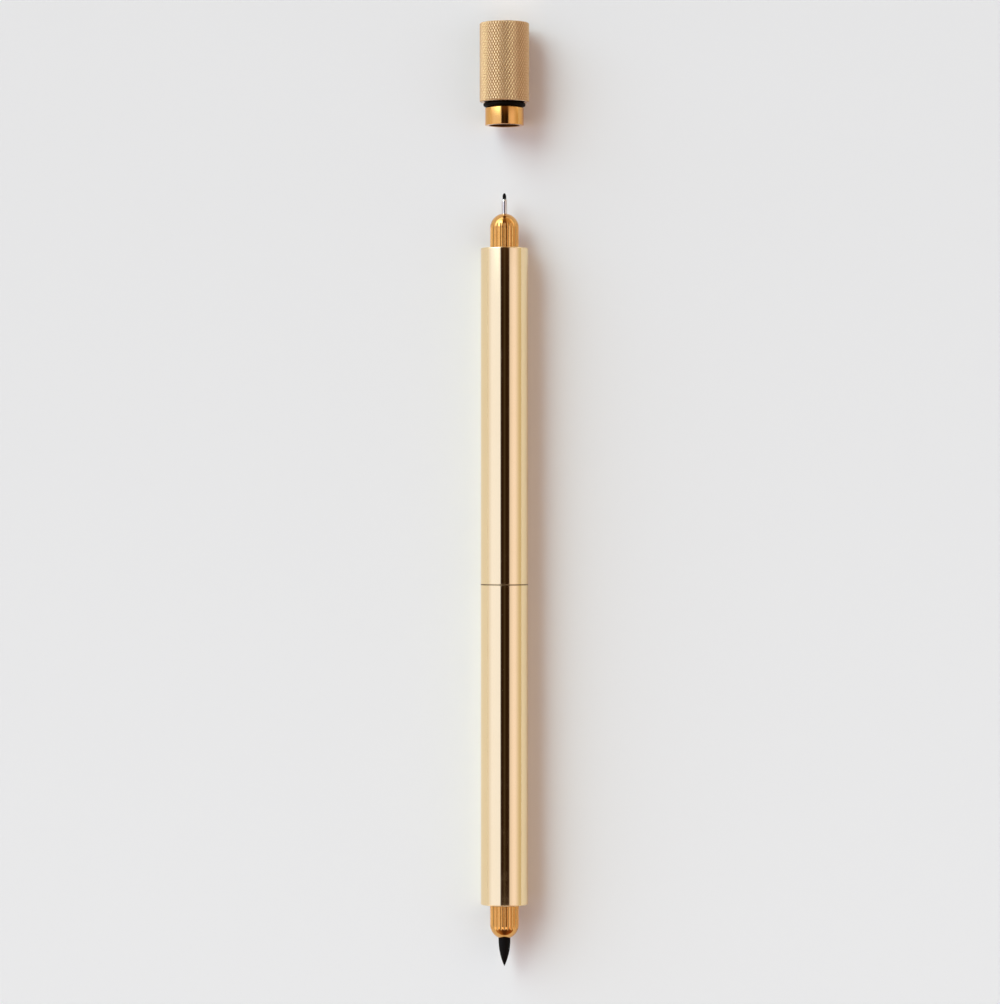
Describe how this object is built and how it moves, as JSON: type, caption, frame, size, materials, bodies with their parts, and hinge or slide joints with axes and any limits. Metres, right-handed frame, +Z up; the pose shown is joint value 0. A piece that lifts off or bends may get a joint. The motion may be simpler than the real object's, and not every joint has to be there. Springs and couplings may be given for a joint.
{
  "type": "double-ended drawing pen",
  "caption": "Double-ended brass drawing pen with a fineliner and a brush nib in fluted noses, plain barrel halves that pull apart, and a knurled push-on cap taken off.",
  "frame": {"origin": "middle of the pen and cap as they lie, on the surface they lie on", "axes": "+Y along the pen towards the fineliner end and the cap, +Z up from the surface"},
  "size_m": [0.0104, 0.1984, 0.0103],
  "materials": {
    "polished_brass": "polished",
    "turned_brass": "fine turned",
    "knurled_brass": "diamond knurled",
    "steel": "drawn, bright",
    "rubber": "satin",
    "tip_fibre": "matte",
    "brush_fibre": "satin, inked",
    "ink_fibre": "matte, inked",
    "holder_plastic": "moulded",
    "cartridge_plastic": "extruded",
    "plug_plastic": "moulded"
  },
  "bodies": {
    "fineliner_half": {"fineliner_barrel": "polished_brass"},
    "fineliner_refill_unit": {"fineliner_tip": "tip_fibre", "fineliner_sleeve": "steel", "fineliner_nib_holder": "holder_plastic", "fineliner_cartridge": "cartridge_plastic", "fineliner_reservoir": "ink_fibre", "fineliner_end_plug": "plug_plastic"},
    "fineliner_nose_unit": {"fineliner_nose": "turned_brass", "fineliner_nose_seal": "rubber"},
    "brush_half": {"brush_barrel": "polished_brass", "coupling_spigot": "turned_brass", "coupling_o_ring": "rubber"},
    "brush_refill_unit": {"brush_nib": "brush_fibre", "brush_nib_holder": "holder_plastic", "brush_cartridge": "cartridge_plastic", "brush_reservoir": "ink_fibre", "brush_end_plug": "plug_plastic"},
    "brush_nose_unit": {"brush_nose": "turned_brass", "brush_nose_seal": "rubber"},
    "cap": {"cap_shell": "knurled_brass", "cap_o_ring": "rubber"}
  },
  "joints": [
    {"name": "cap_slide", "type": "slide", "parent": "fineliner_refill_unit", "child": "cap", "axis": [0, -1, -0.0065], "range_m": [0, 0.03064]},
    {"name": "brush_half_pull", "type": "slide", "parent": "fineliner_half", "child": "brush_half", "axis": [0, -1, 0], "range_m": [0, 0.012]},
    {"name": "fineliner_refill_draw", "type": "slide", "parent": "fineliner_half", "child": "fineliner_refill_unit", "axis": [0, 1, 0], "range_m": [0, 0.007]},
    {"name": "fineliner_nose_turn", "type": "hinge", "parent": "fineliner_refill_unit", "child": "fineliner_nose_unit", "pos_m": [0, 0.05188, 0.00498], "axis": [0, 1, 0], "range_deg": [0, 2521]},
    {"name": "brush_refill_draw", "type": "slide", "parent": "brush_half", "child": "brush_refill_unit", "axis": [0, -1, 0], "range_m": [0, 0.007]},
    {"name": "brush_nose_turn", "type": "hinge", "parent": "brush_refill_unit", "child": "brush_nose_unit", "pos_m": [0, -0.08617, 0.00498], "axis": [0, -1, 0], "range_deg": [0, 2521]}
  ],
  "couplings": [
    {"joint": "fineliner_nose_turn", "follows": "fineliner_refill_draw", "rad_per_m": 6283.2},
    {"joint": "brush_nose_turn", "follows": "brush_refill_draw", "rad_per_m": 6283.2}
  ]
}
